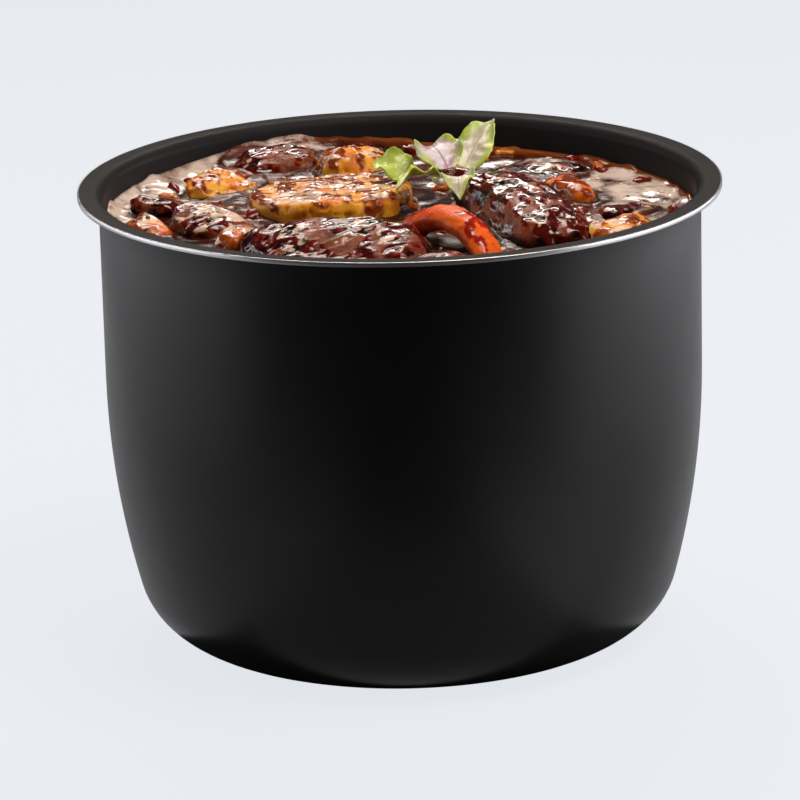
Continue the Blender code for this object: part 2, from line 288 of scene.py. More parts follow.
def build_film_group():
    """Sauce over flesh, as a group that more than one material uses.

    Where the sauce lies deep it is dark, and painted shade in creases and undersides takes the same colour.
    Where it thins out it stains the flesh, and a pale painted sheen lies on top.
    """
    group = bpy.data.node_groups.new("sauce_film", "ShaderNodeTree")
    sockets = (
        ("Flesh", "NodeSocketColor"),
        ("Thin", "NodeSocketColor"),
        ("Thick_And_Shade", "NodeSocketColor"),
        ("Film", "NodeSocketFloat"),
        ("Painted_Shade", "NodeSocketFloat"),
        ("Painted_Sheen", "NodeSocketFloat"),
    )
    for name, kind in sockets:
        group.interface.new_socket(name, in_out="INPUT", socket_type=kind)
    group.interface.new_socket("Color", in_out="OUTPUT", socket_type="NodeSocketColor")
    group.interface.new_socket("Roughness", in_out="OUTPUT", socket_type="NodeSocketFloat")
    inlet = group.nodes.new("NodeGroupInput")
    outlet = group.nodes.new("NodeGroupOutput")
    blotch = ramp(group, noise(group, 260.0, 3.0, 0.6), 0.3, 0.7, -0.18, 0.18)
    film = combine(group, "ADD", inlet.outputs["Film"], blotch)
    stained = blend(group, ramp(group, film, 0.05, 0.6), inlet.outputs["Flesh"], inlet.outputs["Thin"])
    # Painted shade: creases, pits and undersides are darkened to the colour of the deepest sauce.
    thick_and_shade = ramp(group, combine(group, "ADD", film, inlet.outputs["Painted_Shade"]), 0.55, 1.25)
    colour = blend(group, thick_and_shade, stained, inlet.outputs["Thick_And_Shade"])
    # Painted sheen: pale patches, broken up by noise.
    broken = ramp(group, noise(group, 520.0, 5.0, 0.65), 0.3, 0.7, -0.55, 0.45)
    painted_sheen = combine(group, "ADD", inlet.outputs["Painted_Sheen"], broken)
    colour = blend(group, ramp(group, painted_sheen, 0.35, 0.75, 0.0, 0.85), colour, PAINTED_SHEEN_COLOUR)
    group.links.new(colour, outlet.inputs["Color"])
    group.links.new(ramp(group, film, 0.1, 0.7, 0.40, 0.12), outlet.inputs["Roughness"])
    return group


def glazed(name, flesh, thin, thick_and_shade, grain_scale, grain_depth, **values):
    """A material for food under a film of sauce. flesh is the function that makes its bare colour."""
    material, tree, shader = new_material(name)
    film = node(tree, "Group")
    film.node_tree = FILM
    film.inputs["Thin"].default_value = (*thin, 1)
    film.inputs["Thick_And_Shade"].default_value = (*thick_and_shade, 1)
    tree.links.new(flesh(tree), film.inputs["Flesh"])
    for part in ("film", "painted_shade", "painted_sheen"):
        tree.links.new(mark(tree, part), film.inputs[part.title()])
    tree.links.new(film.outputs["Color"], shader.inputs["Base Color"])
    tree.links.new(film.outputs["Roughness"], shader.inputs["Roughness"])
    tree.links.new(ramp(tree, mark(tree, "film"), 0.15, 0.75, 0.0, 0.85), shader.inputs["Coat Weight"])
    bare = ramp(tree, mark(tree, "film"), 0.2, 0.8, 1.0, 0.35)
    height = combine(tree, "MULTIPLY", noise(tree, grain_scale, 4.0, 0.6), bare)
    bump(tree, shader, height, 0.7, grain_depth)
    settings(shader, IOR=1.38, Coat_Roughness=0.07, Coat_IOR=1.40, **values)
    return material


def beef_flesh(tree):
    """Braised beef: dark red, browner in streaks, with fine pale threads."""
    dark_red, brown, pale = (0.130, 0.0130, 0.0024), (0.230, 0.060, 0.0150), (0.400, 0.180, 0.080)
    streaks = noise(tree, 60.0, 4.0, 0.6, stretch=(1.0, 4.0, 4.0))
    fine = noise(tree, 900.0, 3.0, 0.6)
    meat = blend(tree, ramp(tree, streaks, 0.40, 0.62), dark_red, brown)
    return blend(tree, ramp(tree, fine, 0.45, 0.75, 0.0, 0.35), meat, pale)


def potato_flesh(tree):
    """Potato browned in the sauce, from yellow to amber."""
    yellow, amber = (0.900, 0.460, 0.032), (0.660, 0.185, 0.010)
    soaked = noise(tree, 90.0, 3.0, 0.5)
    return blend(tree, ramp(tree, soaked, 0.38, 0.64), yellow, amber)


def carrot_flesh(tree):
    """Cooked carrot, from bright to dark orange."""
    bright, dark = (0.760, 0.190, 0.010), (0.460, 0.065, 0.004)
    tone = noise(tree, 120.0, 2.0, 0.5)
    return blend(tree, ramp(tree, tone, 0.35, 0.7), bright, dark)


def pepper_flesh(tree):
    """Cooked pepper, from orange at its unripe end to scarlet."""
    orange, scarlet = (0.800, 0.125, 0.005), (0.560, 0.012, 0.002)
    patches = ramp(tree, noise(tree, 140.0, 3.0, 0.6), 0.3, 0.7, -0.4, 0.4)
    ripe = combine(tree, "ADD", mark(tree, "ripe"), patches)
    return blend(tree, ramp(tree, ripe, 0.1, 1.0), orange, scarlet)


def gravy_material():
    """Gravy: dark where deep, orange-brown where thin, with painted shade among the food and pale painted sheen.
    """
    dark, brown = (0.032, 0.0036, 0.0009), (0.150, 0.027, 0.004)
    orange, pale = (0.320, 0.088, 0.015), (0.790, 0.660, 0.570)
    material, tree, shader = new_material("gravy")
    swirl = ramp(tree, noise(tree, 45.0, 4.0, 0.6), 0.3, 0.7, -0.25, 0.35)
    thin = combine(tree, "ADD", mark(tree, "thin"), swirl)
    colour = blend(tree, ramp(tree, thin, 0.0, 0.45), dark, brown)
    colour = blend(tree, ramp(tree, thin, 0.45, 1.0), colour, orange)
    # Painted sheen: pale patches, broken up by noise.
    broken = ramp(tree, noise(tree, 75.0, 5.0, 0.65), 0.3, 0.7, -0.56, 0.42)
    painted_sheen = combine(tree, "ADD", mark(tree, "painted_sheen"), broken)
    colour = blend(tree, ramp(tree, painted_sheen, 0.30, 0.72, 0.0, 0.88), colour, pale)
    tree.links.new(colour, shader.inputs["Base Color"])
    bump(tree, shader, noise(tree, 500.0, 3.0, 0.6), 0.4, 0.0003)
    tree.links.new(ramp(tree, mark(tree, "deep"), 0.0, 1.0, 0.19, 0.30), shader.inputs["Roughness"])
    tree.links.new(ramp(tree, mark(tree, "deep"), 0.0, 0.8, 0.40, 0.12), shader.inputs["Coat Weight"])
    settings(shader, IOR=1.42, Coat_Roughness=0.07, Coat_IOR=1.4)
    return material


def coat_material(name, colour, roughness, specular, speckle):
    """A dark satin coat with the faint orange peel of paint that was sprayed and baked."""
    material, tree, shader = new_material(name)
    peel = noise(tree, 1500.0, 2.0, 0.5)
    cloud = noise(tree, 9.0, 3.0, 0.5)
    light = tuple(c * 1.35 for c in colour)
    tree.links.new(blend(tree, ramp(tree, cloud, 0.3, 0.7), colour, light), shader.inputs["Base Color"])
    worn = ramp(tree, noise(tree, 30.0, 4.0, 0.6), 0.3, 0.7, roughness - 0.03, roughness + 0.04)
    tree.links.new(worn, shader.inputs["Roughness"])
    bump(tree, shader, peel, speckle, 0.00008)
    settings(shader, Specular_IOR_Level=specular)
    return material


def edge_material():
    """The sheet's bare cut edge, turned bright, with fine rings of the tool round it."""
    bright, dull = (0.52, 0.52, 0.53), (0.40, 0.40, 0.41)
    material, tree, shader = new_material("bare_edge")
    rings = noise(tree, 3.0, 6.0, 0.7, stretch=(1.0, 1.0, 900.0))
    tree.links.new(blend(tree, ramp(tree, rings, 0.35, 0.65), bright, dull), shader.inputs["Base Color"])
    tree.links.new(ramp(tree, rings, 0.3, 0.7, 0.24, 0.36), shader.inputs["Roughness"])
    bump(tree, shader, rings, 0.25, 0.00004)
    settings(shader, Metallic=1.0)
    return material


def leaf_material():
    """Basil: green at the edges, pale and flushed with purple towards the rib, with raised veins."""
    dark_green, light_green = (0.230, 0.380, 0.015), (0.480, 0.560, 0.060)
    green_rib, purple_rib = (0.470, 0.600, 0.100), (0.700, 0.620, 0.650)
    green_vein, purple_vein = (0.560, 0.540, 0.280), (0.230, 0.085, 0.150)
    purple_flush = (0.400, 0.240, 0.330)
    material, tree, shader = new_material("basil_leaf")
    purple = mark(tree, "purple")
    blotch = noise(tree, 160.0, 3.0, 0.55)
    side = combine(tree, "ADD", mark(tree, "edge"), ramp(tree, blotch, 0.3, 0.7, -0.25, 0.25))
    patches = ramp(tree, noise(tree, 150.0, 3.0, 0.6), 0.45, 0.60, 0.0, 0.9)
    inner = blend(tree, purple, green_rib, purple_rib)
    inner = blend(tree, combine(tree, "MULTIPLY", purple, patches), inner, purple_flush)
    outer = blend(tree, ramp(tree, blotch, 0.4, 0.6), dark_green, light_green)
    blade = blend(tree, ramp(tree, side, 0.45, 1.0), inner, outer)
    line = blend(tree, purple, green_vein, purple_vein)
    colour = blend(tree, ramp(tree, mark(tree, "vein"), 0.2, 0.9, 0.0, 0.75), blade, line)
    tree.links.new(colour, shader.inputs["Base Color"])
    height = combine(tree, "ADD", mark(tree, "vein"), combine(tree, "MULTIPLY", blotch, 0.4))
    bump(tree, shader, height, 0.5, 0.0003)
    settings(shader, Roughness=0.36, Coat_Weight=0.25, Coat_Roughness=0.12)
    settings(shader, Subsurface_Weight=0.2, Subsurface_Scale=1.0, Subsurface_Radius=(0.001, 0.0012, 0.0004))
    return material


def herb_material():
    """Chopped herbs, dark from the heat."""
    dark, light = (0.030, 0.045, 0.006), (0.110, 0.120, 0.016)
    material, tree, shader = new_material("chopped_herb")
    tone = noise(tree, 500.0, 2.0, 0.5)
    tree.links.new(blend(tree, ramp(tree, tone, 0.35, 0.65), dark, light), shader.inputs["Base Color"])
    bump(tree, shader, tone, 0.4, 0.0002)
    settings(shader, Roughness=0.35, Coat_Weight=0.3)
    return material


FILM = build_film_group()
OUTSIDE_COAT = coat_material("satin_black_coat", (0.0030, 0.0030, 0.0034), 0.37, 0.20, 0.35)
NON_STICK = coat_material("non_stick_coat", (0.015, 0.0155, 0.0165), 0.46, 0.040, 0.25)
BARE_EDGE = edge_material()
GRAVY = gravy_material()
BEEF = glazed(
    "beef",
    beef_flesh,
    thin=(0.165, 0.0060, 0.0009),
    thick_and_shade=(0.012, 0.0008, 0.0003),
    grain_scale=900.0,
    grain_depth=0.0004,
    Specular_IOR_Level=0.30,
)
ROOT_VEGETABLE = {
    "thin": SAUCE_THIN,
    "grain_scale": 500.0,
    "grain_depth": 0.0004,
    "Specular_IOR_Level": 0.35,
    "Subsurface_Weight": 0.10,
    "Subsurface_Scale": 0.003,
}
POTATO = glazed("potato", potato_flesh, thick_and_shade=(0.170, 0.022, 0.003), **ROOT_VEGETABLE)
CARROT = glazed("carrot", carrot_flesh, thick_and_shade=(0.240, 0.030, 0.004), **ROOT_VEGETABLE)
PEPPER = glazed(
    "pepper",
    pepper_flesh,
    thin=(0.480, 0.020, 0.003),
    thick_and_shade=(0.140, 0.006, 0.001),
    grain_scale=420.0,
    grain_depth=0.0006,
    Specular_IOR_Level=0.35,
    Subsurface_Weight=0.04,
    Subsurface_Scale=0.002,
)
LEAF = leaf_material()
HERB = herb_material()


# ---------------------------------------------------------------- the pot

EDGE_ROUNDING = 0.00025
EDGE_RING = 0.26 * SHEET  # a ring of points this far down the cut edge keeps its face flat in the light
FLOOR_RINGS = (0.01, 0.07)  # the radii of the floor's first and last ring of points
STEPS_ROUND = 288


def arc(centre, radius, first, last, count):
    """Points in (radius, height) along an arc from the angle first to last, in degrees."""
    angles = np.radians(np.linspace(first, last, count + 1))
    return [(centre[0] + radius * math.cos(a), centre[1] + radius * math.sin(a)) for a in angles]


def side_outline(inset, corner_steps, side_steps):
    """The pot's side as (radius, height), from the edge of its floor to the foot of the straight wall."""
    sweep = math.degrees(SIDE_SWEEP)
    side_centre = (WALL_RADIUS - SIDE_RADIUS, SIDE_TOP)
    reach = SIDE_RADIUS - CORNER_RADIUS
    corner_centre = (
        side_centre[0] + reach * math.cos(SIDE_SWEEP),
        side_centre[1] - reach * math.sin(SIDE_SWEEP),
    )
    corner = arc(corner_centre, CORNER_RADIUS - inset, -90, -sweep, corner_steps)
    side = arc(side_centre, SIDE_RADIUS - inset, -sweep, 0, side_steps)
    return corner + side[1:]


def turned(outline, steps):
    """An outline of (radius, height), with both its ends on the axis, turned about Z.

    It gives back points, faces, and for each face the number of its band along the outline.
    """
    angles = np.linspace(0, 2 * math.pi, steps, endpoint=False)
    ring = np.stack([np.cos(angles), np.sin(angles)], axis=1)
    inner = outline[1:-1]
    points = [(0, 0, outline[0][1]), (0, 0, outline[-1][1])]
    for radius, height in inner:
        points += [(radius * c, radius * s, height) for c, s in ring]
    faces, bands = [], []
    for i in range(steps):
        j = (i + 1) % steps
        faces.append((0, 2 + i, 2 + j))
        bands.append(0)
        for k in range(len(inner) - 1):
            a, b = 2 + k * steps, 2 + (k + 1) * steps
            faces.append((a + i, b + i, b + j, a + j))
            bands.append(k + 1)
        last = 2 + (len(inner) - 1) * steps
        faces.append((last + i, 1, last + j))
        bands.append(len(inner))
    return points, faces, bands


def build_pot():
    """The drawn pot: non-stick inside, satin black outside, and a bright cut edge round the flange."""
    bend_centre = (INSIDE_RADIUS + MOUTH_BEND, RIM - MOUTH_BEND)
    edge_radius = FLANGE_RADIUS - EDGE_ROUNDING
    inside = [(0, SHEET)] + [(r, SHEET) for r in np.linspace(*FLOOR_RINGS, 5)]
    inside += side_outline(SHEET, 16, 12)
    inside += [(INSIDE_RADIUS, h) for h in np.linspace(SIDE_TOP, RIM - MOUTH_BEND, 8)[1:-1]]
    inside += arc(bend_centre, MOUTH_BEND, 180, 90, 12)
    inside += [(FLANGE_RADIUS - 2 * EDGE_ROUNDING, RIM)]
    edge = arc((edge_radius, RIM - EDGE_ROUNDING), EDGE_ROUNDING, 90, 0, 3)
    edge += [(FLANGE_RADIUS, RIM - EDGE_RING)]
    outside = arc((edge_radius, RIM - SHEET + EDGE_ROUNDING), EDGE_ROUNDING, 0, -90, 3)
    outside += arc(bend_centre, MOUTH_BEND - SHEET, 90, 180, 8)
    outside += [(WALL_RADIUS, h) for h in np.linspace(RIM - MOUTH_BEND, SIDE_TOP, 8)[1:-1]]
    outside += list(reversed(side_outline(0, 16, 12)))
    outside += [(r, 0) for r in np.linspace(*reversed(FLOOR_RINGS), 5)] + [(0, 0)]
    points, faces, bands = turned(inside + edge + outside, STEPS_ROUND)
    # The bands from the inside's last point to the outside's first are the bare edge.
    bands = np.array(bands)
    finish = np.where(bands < len(inside) - 1, 1, np.where(bands < len(inside) + len(edge), 2, 0))
    mesh = mesh_from("pot_shell", points, faces, [OUTSIDE_COAT, NON_STICK, BARE_EDGE], None, finish)
    add_piece("pot_shell", mesh, "pot", ["pot"])


# ---------------------------------------------------------------- the food

# The height of the food over the pot's floor plan, on an even grid, for the gravy to meet.
PLAN_STEP = 0.0005
PLAN_SIDE = int(2 * WALL_RADIUS / PLAN_STEP) + 1
NO_FOOD = -1.0
plan = np.full((PLAN_SIDE, PLAN_SIDE), NO_FOOD)


def plan_cell(points):
    """The plan's cell under each point."""
    cell = np.rint((points[:, :2] + WALL_RADIUS) / PLAN_STEP).astype(int)
    return np.clip(cell, 0, PLAN_SIDE - 1)


def note_on_plan(points):
    """Marks a piece's upper side on the plan."""
    cell = plan_cell(points)
    for dx, dy in product((-1, 0, 1), repeat=2):
        x, y = (np.clip(cell[:, i] + d, 0, PLAN_SIDE - 1) for i, d in ((0, dx), (1, dy)))
        np.maximum.at(plan, (x, y), points[:, 2])


def sauce_film(points, normals, cover, seed):
    """How much sauce lies on each point, from 0 to 1: more on what faces up, in blotches."""
    blotches = layered(points, 0.007, 3, seed, 0.6)
    return step_up(blotches + 0.55 * normals[:, 2] + cover, 0.15, 0.75)


def lengthwise(points, bearing, stretch):
    """The points in a space that is squeezed along a bearing, so that noise there runs along it."""
    angle = math.radians(bearing)
    along = np.array([math.cos(angle), math.sin(angle), 0])
    run = points @ along
    return points - np.outer(run * (1 - 1 / stretch), along)


def ridged(points, size, seed):
    """Noise that is 1 along thin winding ridges and falls towards 0 between them."""
    return 1 - np.abs(layered(points, size, 2, seed))


# Each shape function takes the skin's points and normals, a bearing and a seed. It gives back how far each
# point moves out, how much sauce lies on it, and how much painted shade it gets in folds, pits and undersides.


def shape_beef(points, normals, bearing, seed):
    """Braised meat, crinkled across its fibres under a glaze."""
    cover = 0.18 + 0.7 * layered(points, 0.034, 1, seed + 11)
    film = sauce_film(points, normals, cover, seed + 7)
    lumps = layered(points, 0.016, 2, seed) * 0.0012
    crinkles = ridged(lengthwise(points, bearing, 3), 0.0060, seed + 3)
    threads = ridged(lengthwise(points, bearing, 7), 0.0015, seed + 5)
    relief = 0.0010 * (crinkles - 0.7) + 0.00022 * (threads - 0.6) * (1 - 0.8 * film)
    ripple = layered(points, 0.0034, 2, seed + 9) * 0.00020
    # Painted shade: darker in the creases between crinkles, on faces turned sideways and down, and low near the
    # gravy.
    painted_crease_shade = step_up(0.62 - crinkles, 0.0, 0.35)
    painted_underside_shade = 1.2 * step_up(-normals[:, 2], -0.40, 0.05)
    painted_low_shade = 0.6 * step_up(GRAVY_LEVEL + 0.005 - points[:, 2], 0, 0.006)
    painted_shade = np.clip(painted_crease_shade + (painted_underside_shade + painted_low_shade), 0, 1.6)
    return lumps + relief + ripple, film * step_up(normals[:, 2], -0.05, 0.45), painted_shade


def shape_potato(points, normals, bearing, seed):
    """Soft potato, which has no fibres, with a heavy glaze that has run off it in patches, and painted shade in
    its pits.
    """
    lumps = layered(points, 0.016, 2, seed) * 0.0009
    film = sauce_film(points, normals, -0.05, seed + 7)
    pits = step_up(-layered(points, 0.0040, 2, seed + 4), 0.15, 0.6)
    glaze = film * 0.00055 + layered(points, 0.0048, 2, seed + 9) * 0.00032
    return lumps + glaze - pits * 0.0005, film, pits


def shape_carrot(points, normals, bearing, seed):
    """A cut stick of carrot, a little ridged along its length."""
    lumps = layered(points, 0.009, 2, seed) * 0.0006
    ridges = ridged(lengthwise(points, bearing, 4), 0.0026, seed + 3)
    film = sauce_film(points, normals, 0.15, seed + 7)
    pits = step_up(-layered(points, 0.0040, 2, seed + 2), 0.2, 0.7)
    # The pits are darkened as painted shade.
    return lumps + 0.00035 * (ridges - 0.6) + film * 0.0003 - pits * 0.0003, film, pits * 0.6


VOXEL, QUICK_VOXEL = 0.0007, 0.0009  # the size of a skin's faces
SHAPES = {"beef": (shape_beef, BEEF), "potato": (shape_potato, POTATO), "carrot": (shape_carrot, CARROT)}

# Each piece of food: its node, its kind, the bearing of its length or fibres, the seed of its surface, and
# how much pale painted sheen lies on its upper faces.
FOOD = (
    ("beef_front", "beef", 25, 3, 0.42),
    ("beef_right", "beef", -62, 5, 0.34),
    ("beef_left", "beef", 15, 8, 0.68),
    ("beef_back", "beef", 20, 13, 0.45),
    ("beef_under", "beef", 6, 21, 0.2),
    ("beef_far_left", "beef", 50, 34, 0.45),
    ("beef_far_right", "beef", 34, 37, 0.4),
    ("beef_back_right", "beef", -40, 39, 0.3),
    ("potato_slice", "potato", 0, 2, 0.6),
    ("potato_back", "potato", 20, 55, 0.55),
    ("potato_left", "potato", 62, 89, 0.4),
    ("potato_right", "potato", 56, 17, 0.5),
    ("carrot_left", "carrot", -60, 41, 0.5),
    ("carrot_front", "carrot", 75, 27, 0.62),
    ("carrot_right", "carrot", -66, 30, 0.3),
)


def build_food(name, kind, bearing, seed, sheen_share):
    """A piece of food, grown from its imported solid."""
    shape, material = SHAPES[kind]
    skin = even_skin(name, VOXEL, 5)
    points, normals = points_of(skin), points_of(skin, "normal")
    height, film, painted_shade = shape(points, normals, bearing, seed)
    points = points + normals * height[:, None]
    # Painted sheen: pale patches on the faces that turn up, with no painted shade under them.
    patches = layered(lengthwise(points, bearing, 2), 0.0065, 3, seed + 21, 0.6)
    painted_sheen = step_up(patches + 1.2 * (sheen_share - 1) + 0.6 * normals[:, 2], 0.05, 0.45)
    painted_sheen = painted_sheen * step_up(normals[:, 2], 0.1, 0.6)
    marks = {"film": film, "painted_shade": painted_shade * (1 - painted_sheen), "painted_sheen": painted_sheen}
    mesh = mesh_from(name + "_cooked", points, faces_of_quads(skin), [material], marks)
    bpy.data.meshes.remove(skin)
    note_on_plan(points)
    add_piece(name + "_cooked", mesh, "stew", [name])


def build_pepper():
    """The arched strip of pepper, unripe towards its right end."""
    skin = even_skin("pepper", VOXEL, 10)
    points, normals = points_of(skin), points_of(skin, "normal")
    film = sauce_film(points, normals, -0.35, 5)
    wrinkles = ridged(lengthwise(points, -50, 3), 0.0048, 9)
    height = layered(points, 0.009, 2, 9) * 0.0006 + 0.00060 * (wrinkles - 0.6) + film * 0.0003
    points = points + normals * height[:, None]
    low, high = points[:, 0].min(), points[:, 0].max()
    # Painted shade: darker between the wrinkles and on faces turned sideways and down.
    painted_underside_shade = 0.8 * step_up(-normals[:, 2], -0.1, 0.5)
    marks = {
        "film": film,
        "painted_shade": np.clip(step_up(0.5 - wrinkles, 0, 0.4) + painted_underside_shade, 0, 1.2),
        "ripe": step_up((high - points[:, 0]) / (high - low), 0.35, 0.95),
    }
    mesh = mesh_from("pepper_cooked", points, faces_of_quads(skin), [PEPPER], marks)
    note_on_plan(points)
    add_piece("pepper_cooked", mesh, "stew", ["pepper"])


# ---------------------------------------------------------------- the gravy

MIDDLE_SQUEEZE = 0.80  # how far the square middle of the surface's grid is drawn in
RINGS, QUICK_RINGS = 135, 110  # of faces, from the middle to the rim

# Hills of gravy: where, how wide and how high. The first lies over the food at the back left.
HEAPS = (
    ((-0.035, 0.098), 0.032, 0.0035),
    ((-0.052, 0.086), 0.020, 0.0006),
)


def blurred(field, radius):
    """A plan's field, spread smoothly over about this distance by three running means along each side."""
    half = max(1, int(radius / PLAN_STEP / 1.7))
    for _ in range(3):
        for axis in (0, 1):
            pad = [(half + 1, half) if a == axis else (0, 0) for a in (0, 1)]
            run = np.cumsum(np.pad(field, pad, mode="edge"), axis=axis)
            size = field.shape[axis]
            ahead = np.take(run, range(2 * half + 1, 2 * half + 1 + size), axis=axis)
            behind = np.take(run, range(0, size), axis=axis)
            field = (ahead - behind) / (2 * half + 1)
    return field


def disc(radius, rings):
    """Points of a disc that is an even grid squeezed round, as (n, n, 2), from corner to corner."""
    line = np.linspace(-1, 1, 2 * rings + 1)
    a, b = np.meshgrid(line, line, indexing="ij")
    reach = np.maximum(np.abs(a), np.abs(b))
    straight = np.hypot(a, b)
    scale = np.divide(reach, straight, out=np.zeros_like(reach), where=straight > 0)
    # Towards the middle the grid stays square, and towards the rim it is round.
    grid = np.stack([a, b], axis=-1)
    round_grid = grid * scale[..., None]
    mix = step_up(reach, 0.0, 1.0)[..., None]
    return radius * (grid * (1 - mix) * MIDDLE_SQUEEZE + round_grid * mix)


def gravy_heights(points):
    """What the gravy's surface is like at each point.

    It gives back the surface's height, how thin the gravy lies there with painted shade among the food taken
    off, how much pale painted sheen lies on it, and how deep the point lies between pieces of food.
    """
    flat = points.copy()
    flat[:, 2] = 0
    cell = plan_cell(flat)
    from_wall = GRAVY_RADIUS - np.hypot(flat[:, 0], flat[:, 1])
    bearing = np.degrees(np.arctan2(flat[:, 1], flat[:, 0]))
    back_left = step_up(bearing, 85, 120) * (1 - step_up(np.abs(bearing - 120), 50, 85))
    right = 1 - step_up(np.abs(bearing - 12), 22, 48)

    stands_out = (plan > GRAVY_LEVEL - 0.0005).astype(float)
    near_food, painted_shade_near_food, among_food = (
        blurred(stands_out, radius)[cell[:, 0], cell[:, 1]] for radius in (0.0016, 0.0045, 0.0060)
    )
    deep = step_up(among_food, 0.10, 0.50)

    lumps = layered(flat, 0.024, 2, 71) * 0.0015
    waves = layered(flat, 0.0105, 1, 72) * 0.00080 + layered(flat, 0.0042, 1, 74) * 0.00016
    heap = 0
    for centre, spread, top in HEAPS:
        heap = heap + top * np.exp(-((np.linalg.norm(flat[:, :2] - centre, axis=1) / spread) ** 2) / 2)
    climb = 0.0013 * np.exp(-from_wall / 0.0013)
    climb += 0.0024 * back_left * np.exp(-from_wall / 0.0085)
    climb += 0.0016 * step_up(layered(flat, 0.017, 2, 77), -0.1, 0.7) * np.exp(-from_wall / 0.0040)
    clear_of_wall = step_up(from_wall, 0.0, 0.006)
    height = GRAVY_LEVEL + heap + (lumps + waves) * clear_of_wall + climb + 0.0011 * near_food

    # Painted shade: the gravy is made darker among the food.
    thin = (0.9 - 0.5 * back_left) * np.exp(-from_wall / 0.0020) + 0.22 * near_food - 0.25 * painted_shade_near_food

    # Painted sheen: pale patches along the wall at the back left and on the right, fewer among the food.
    painted_sheen_back_left = 0.80 * back_left * (1 - step_up(from_wall, 0.010, 0.020))
    painted_sheen_right = 0.68 * right * (1 - step_up(from_wall, 0.026, 0.040))
    painted_sheen = np.maximum(np.maximum(painted_sheen_back_left, painted_sheen_right) * (1 - 0.7 * deep), 0.08)
    painted_sheen = painted_sheen * np.maximum(back_left, step_up(from_wall, 0.0005, 0.0025))
    return height, thin, painted_sheen, deep


def build_gravy():
    """The gravy: a surface that climbs the pot and the food, on a body that fills the pot.

    It gives back the height of the gravy over the plan.
    """
    grid = disc(GRAVY_RADIUS, RINGS)
    side = len(grid)
    top = np.concatenate([grid.reshape(-1, 2), np.zeros((side * side, 1))], axis=1)
    height, thin, painted_sheen, deep = gravy_heights(top)
    top[:, 2] = height
    index = np.arange(side * side).reshape(side, side)
    quads = np.stack([index[:-1, :-1], index[1:, :-1], index[1:, 1:], index[:-1, 1:]], axis=-1)
    faces = [tuple(q) for q in quads.reshape(-1, 4).tolist()]
    rim = [*index[:, 0], *index[-1, 1:], *index[-2::-1, -1], *index[0, -2:0:-1]]
    rim = [int(i) for i in rim]
    count = len(rim)
    angles = np.arctan2(top[rim, 1], top[rim, 0])
    inset = SHEET + GRAVY_GAP
    points = top.tolist()
    above = rim
    for radius, level in reversed(side_outline(inset, 10, 8)):
        below = list(range(len(points), len(points) + count))
        points += [(radius * math.cos(a), radius * math.sin(a), level) for a in angles]
        for i in range(count):
            j = (i + 1) % count
            faces.append((above[i], below[i], below[j], above[j]))
        above = below
    middle = len(points)
    points.append((0, 0, inset))
    faces += [(above[i], middle, above[(i + 1) % count]) for i in range(count)]
    below_top = len(points) - len(top)
    marks = {
        "thin": np.concatenate([thin, np.full(below_top, 0.15)]),
        "painted_sheen": np.concatenate([painted_sheen, np.zeros(below_top)]),
        "deep": np.concatenate([deep, np.zeros(below_top)]),
    }
    mesh = mesh_from("gravy_poured", points, faces, [GRAVY], marks)
    turning = bmesh.new()
    turning.from_mesh(mesh)
    bmesh.ops.recalc_face_normals(turning, faces=turning.faces)
    turning.to_mesh(mesh)
    turning.free()
    add_piece("gravy_poured", mesh, "stew", ["gravy"])
    line = np.linspace(-WALL_RADIUS, WALL_RADIUS, PLAN_SIDE)
    x, y = np.meshgrid(line, line, indexing="ij")
    over = np.stack([x.ravel(), y.ravel(), np.zeros(x.size)], axis=1)
    return gravy_heights(over)[0].reshape(x.shape)


# ---------------------------------------------------------------- small things in the stew


BITS_REACH = 0.96 * GRAVY_RADIUS
OPEN_DEPTH = 0.002  # the gravy lies open where the food stays this far under its level
LOWEST_DEPTH = 0.003  # nothing lies further than this under the gravy's level
STEEPEST_UP = 0.75  # nothing lies where the surface's up direction has less height than this
RAGGEDNESS = 0.42
SLOPE_SPAN = 2  # cells of the plan to each side that a slope is measured over


def open_gravy(x, y):
    """Whether the gravy lies open at a point."""
    i, j = plan_cell(np.array([[x, y, 0.0]]))[0]
    return plan[i, j] < GRAVY_LEVEL - OPEN_DEPTH


def surface_under(x, y):
    """The height and the up direction of whatever lies on top at a point of the plan."""
    top = gravy_top if open_gravy(x, y) else plan
    cell = plan_cell(np.array([[x, y, 0.0]]))[0]
    i, j = np.clip(cell, SLOPE_SPAN, PLAN_SIDE - 1 - SLOPE_SPAN)
    run = 2 * SLOPE_SPAN * PLAN_STEP
    slope_x = (top[i + SLOPE_SPAN, j] - top[i - SLOPE_SPAN, j]) / run
    slope_y = (top[i, j + SLOPE_SPAN] - top[i, j - SLOPE_SPAN]) / run
    return top[i, j], Vector((-slope_x, -slope_y, 1)).normalized()


def ball_of(subdivisions):
    """The points and faces of a ball of radius 1."""
    ball = bmesh.new()
    bmesh.ops.create_icosphere(ball, subdivisions=subdivisions, radius=1)
    points = np.array([tuple(v.co) for v in ball.verts])
    faces = np.array([[v.index for v in f.verts] for f in ball.faces])
    ball.free()
    return points, faces


